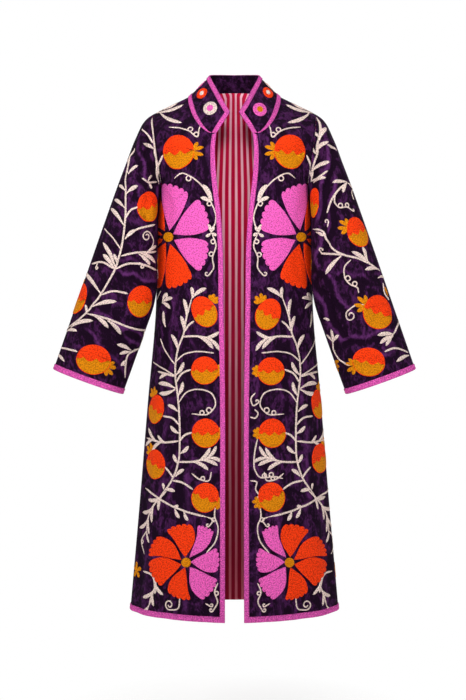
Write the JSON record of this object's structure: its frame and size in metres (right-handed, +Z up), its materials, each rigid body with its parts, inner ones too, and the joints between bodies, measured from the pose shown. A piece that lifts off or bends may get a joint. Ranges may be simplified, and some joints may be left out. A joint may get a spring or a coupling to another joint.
{
  "type": "embroidered velvet coat",
  "caption": "Long open-front velvet coat with a stand collar and straight sleeves, densely embroidered with flowers, pomegranates and vines, edged with bright braid and lined with stripes.",
  "frame": {"origin": "middle of the neck opening, level with the points where the shoulder seams meet the collar, where the wearer's shoulders and neck carry the coat", "axes": "+Z up, the open front faces -Y, the wearer's left is +X"},
  "size_m": [0.8244, 0.2498, 1.2468],
  "materials": {
    "velvet": "crushed velvet pile, embroidered",
    "braid": "looped braid",
    "lining": "plain weave, striped"
  },
  "bodies": {
    "root": {"front_right": "velvet", "front_left": "velvet", "back": "velvet", "back_lining": "lining", "collar": "velvet", "sleeve_right": "velvet", "sleeve_left": "velvet", "braid_front_right": "braid", "braid_front_left": "braid", "braid_hem_back": "braid", "braid_collar": "braid", "braid_neck": "braid", "braid_cuff_right": "braid", "braid_cuff_left": "braid"}
  },
  "joints": []
}
